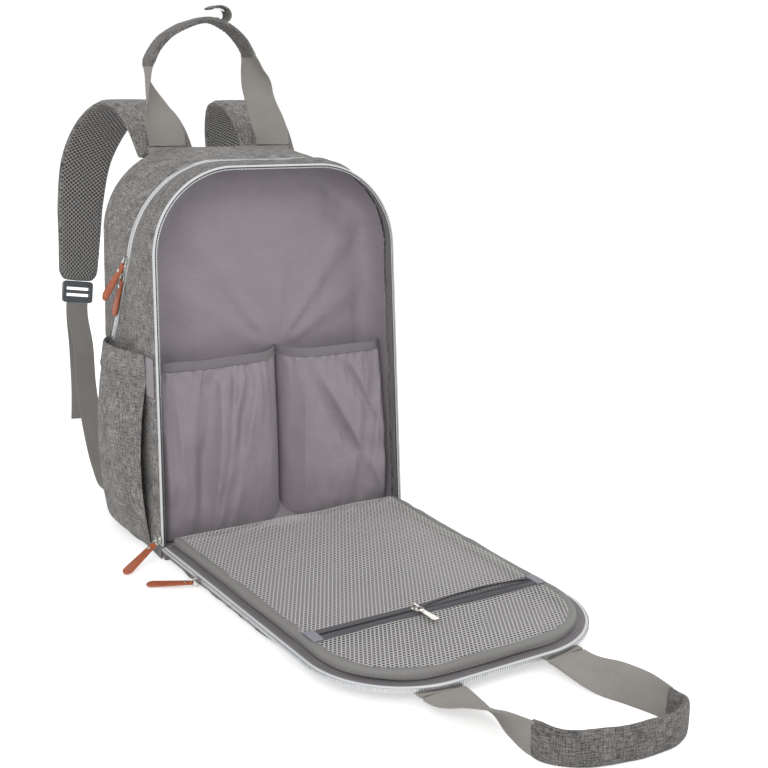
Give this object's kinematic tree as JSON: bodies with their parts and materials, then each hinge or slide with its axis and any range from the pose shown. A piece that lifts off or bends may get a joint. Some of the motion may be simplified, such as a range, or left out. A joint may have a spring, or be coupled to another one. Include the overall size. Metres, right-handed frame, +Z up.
{
  "type": "diaper bag",
  "caption": "Soft diaper backpack standing upright with its front panel unzipped and laid open on the floor, showing gathered lining pockets and a mesh pocket, with carry handles and straps.",
  "frame": {"origin": "on the floor under the middle of the bag's base", "axes": "+X across the bag from its left side to its right side as seen from the front, +Y from the open front to the back with the shoulder straps, +Z up"},
  "size_m": [0.3664, 0.8722, 0.5529],
  "materials": {
    "heather_fabric": "heathered woven polyester, matte",
    "lining_fabric": "ripstop nylon lining, faint sheen",
    "air_mesh": "open spacer mesh over foam",
    "fine_mesh": "fine knitted mesh",
    "binding_tape": "ribbed binding tape",
    "silver_zip": "coated zip tape with a metallic coil",
    "dark_zip": "reverse coil zip tape",
    "elastic": "woven elastic band",
    "webbing": "herringbone polyester webbing",
    "slate_plastic": "moulded acetal, matte",
    "nickel": "nickel plated, slightly worn",
    "tan_leather": "smooth tan leather with edge wear",
    "board": "plain stiffener sheet"
  },
  "bodies": {
    "bag": {"main_gusset": "heather_fabric", "rear_gusset": "heather_fabric", "main_zip": "silver_zip", "opening_zip": "silver_zip", "rim_binding": "binding_tape", "base_panel": "heather_fabric", "front_sill": "heather_fabric", "base_board": "board", "back_panel": "heather_fabric", "back_pad": "air_mesh", "divider_panel": "lining_fabric", "lining_pockets": "lining_fabric", "pocket_elastic": "elastic", "side_pocket_left": "heather_fabric", "side_pocket_right": "heather_fabric", "side_pocket_bands": "heather_fabric", "rear_handle_anchors": "webbing", "strap_yoke": "webbing", "web_anchors": "webbing", "strap_web_left": "webbing", "strap_web_right": "webbing", "back_zip": "dark_zip"},
    "flap": {"flap_panel": "lining_fabric", "flap_zip": "silver_zip", "front_pocket_gusset": "heather_fabric", "front_pocket_zip": "silver_zip", "mesh_binding": "binding_tape", "mesh_upper": "fine_mesh", "mesh_lower": "fine_mesh", "mesh_zip": "dark_zip", "front_handle_anchors": "webbing"},
    "front_pocket": {"front_pocket_panel": "heather_fabric"},
    "front_handle": {"front_handle_web": "webbing", "front_handle_grip": "heather_fabric"},
    "rear_handle": {"rear_handle_web": "webbing", "rear_handle_grip": "heather_fabric"},
    "keeper": {"keeper_strip": "webbing", "keeper_snap": "nickel"},
    "strap_left": {"strap_pad_left": "heather_fabric"},
    "strap_right": {"strap_pad_right": "heather_fabric"},
    "lock_left": {"ladder_lock_left": "slate_plastic"},
    "lock_right": {"ladder_lock_right": "slate_plastic"},
    "opening_slider": {"opening_slider": "nickel"},
    "opening_pull": {"opening_pull_tab": "tan_leather", "opening_pull_metal": "nickel"},
    "main_upper_slider": {"main_upper_slider": "nickel"},
    "main_upper_pull": {"main_upper_pull_tab": "tan_leather", "main_upper_pull_metal": "nickel"},
    "main_lower_slider": {"main_lower_slider": "nickel"},
    "main_lower_pull": {"main_lower_pull_tab": "tan_leather", "main_lower_pull_metal": "nickel"},
    "front_pocket_slider": {"front_pocket_slider": "nickel"},
    "front_pocket_pull": {"front_pocket_pull_tab": "tan_leather", "front_pocket_pull_metal": "nickel"},
    "mesh_slider": {"mesh_slider": "nickel"},
    "mesh_pull": {"mesh_pull": "nickel"},
    "back_upper_slider": {"back_upper_slider": "nickel"},
    "back_upper_pull": {"back_upper_pull": "tan_leather"},
    "back_lower_slider": {"back_lower_slider": "nickel"},
    "back_lower_pull": {"back_lower_pull": "tan_leather"}
  },
  "joints": [
    {"name": "flap_fold", "type": "hinge", "parent": "bag", "child": "flap", "pos_m": [0, -0.07906, 0.0153], "axis": [-1, 0, 0], "range_deg": [0, 93.5]},
    {"name": "front_pocket_open", "type": "hinge", "parent": "flap", "child": "front_pocket", "pos_m": [0, -0.08106, 0.0031], "axis": [1, 0, 0], "range_deg": [0, 8]},
    {"name": "front_handle_lift", "type": "hinge", "parent": "flap", "child": "front_handle", "pos_m": [0, -0.46067, 0.01], "axis": [-1, 0, 0], "range_deg": [0, 60]},
    {"name": "rear_handle_fold", "type": "hinge", "parent": "bag", "child": "rear_handle", "pos_m": [0, 0.081, 0.4066], "axis": [-1, 0, 0], "range_deg": [-75, 25]},
    {"name": "keeper_curl", "type": "hinge", "parent": "rear_handle", "child": "keeper", "pos_m": [-0.00287, 0.081, 0.5377], "axis": [0, -1, 0], "range_deg": [0, 25]},
    {"name": "strap_left_swing", "type": "hinge", "parent": "bag", "child": "strap_left", "pos_m": [-0.062, 0.085, 0.3935], "axis": [1, 0, 0], "range_deg": [-12, 12], "deforming": ["strap_web_left"]},
    {"name": "strap_right_swing", "type": "hinge", "parent": "bag", "child": "strap_right", "pos_m": [0.062, 0.085, 0.3935], "axis": [1, 0, 0], "range_deg": [-12, 12], "deforming": ["strap_web_right"]},
    {"name": "lock_left_tilt", "type": "hinge", "parent": "strap_left", "child": "lock_left", "pos_m": [-0.11248, 0.25239, 0.23279], "axis": [0.9895, -0.0272, -0.1422], "range_deg": [-25, 25]},
    {"name": "lock_right_tilt", "type": "hinge", "parent": "strap_right", "child": "lock_right", "pos_m": [0.11248, 0.25239, 0.23279], "axis": [0.9895, 0.0272, 0.1422], "range_deg": [-25, 25]},
    {"name": "main_upper_slide", "type": "slide", "parent": "bag", "child": "main_upper_slider", "axis": [0.0193, -0.4168, 0.9088], "range_m": [0, 0.015]},
    {"name": "main_upper_pull_swing", "type": "hinge", "parent": "main_upper_slider", "child": "main_upper_pull", "pos_m": [-0.14089, 0.00872, 0.29624], "axis": [0.0081, 0.884, 0.4674], "range_deg": [0, 90]},
    {"name": "main_lower_slide", "type": "slide", "parent": "bag", "child": "main_lower_slider", "axis": [-0.0189, 0.4675, -0.8838], "range_m": [0, 0.02]},
    {"name": "main_lower_pull_swing", "type": "hinge", "parent": "main_lower_slider", "child": "main_lower_pull", "pos_m": [-0.14125, 0.0176, 0.27944], "axis": [0.0081, 0.884, 0.4674], "range_deg": [0, 12]},
    {"name": "opening_slide", "type": "slide", "parent": "bag", "child": "opening_slider", "axis": [0.0203, 0.0611, 0.9979], "range_m": [0, 0.25]},
    {"name": "opening_pull_swing", "type": "hinge", "parent": "opening_slider", "child": "opening_pull", "pos_m": [-0.14726, -0.07397, 0.02185], "axis": [-0.4226, 0.9063, 0], "range_deg": [0, 80]},
    {"name": "front_pocket_slide", "type": "slide", "parent": "flap", "child": "front_pocket_slider", "axis": [0, -1, 0], "range_m": [0, 0.11]},
    {"name": "front_pocket_pull_swing", "type": "hinge", "parent": "front_pocket_slider", "child": "front_pocket_pull", "pos_m": [-0.1388, -0.15706, 0.0056], "axis": [0, 0, 1], "range_deg": [-15, 60]},
    {"name": "mesh_slide", "type": "slide", "parent": "flap", "child": "mesh_slider", "axis": [1, 0, 0], "range_m": [-0.085, 0.115]},
    {"name": "mesh_pull_swing", "type": "hinge", "parent": "mesh_slider", "child": "mesh_pull", "pos_m": [-0.015, -0.34706, 0.0269], "axis": [-1, 0, 0], "range_deg": [0, 60]},
    {"name": "back_upper_slide", "type": "slide", "parent": "bag", "child": "back_upper_slider", "axis": [0, 0, 1], "range_m": [0, 0.2]},
    {"name": "back_upper_pull_swing", "type": "hinge", "parent": "back_upper_slider", "child": "back_upper_pull", "pos_m": [-0.122, 0.0839, 0.088], "axis": [1, 0, 0], "range_deg": [0, 90]},
    {"name": "back_lower_slide", "type": "slide", "parent": "bag", "child": "back_lower_slider", "axis": [0, 0, -1], "range_m": [0, 0.008]},
    {"name": "back_lower_pull_swing", "type": "hinge", "parent": "back_lower_slider", "child": "back_lower_pull", "pos_m": [-0.122, 0.0839, 0.074], "axis": [1, 0, 0], "range_deg": [0, 12]}
  ]
}
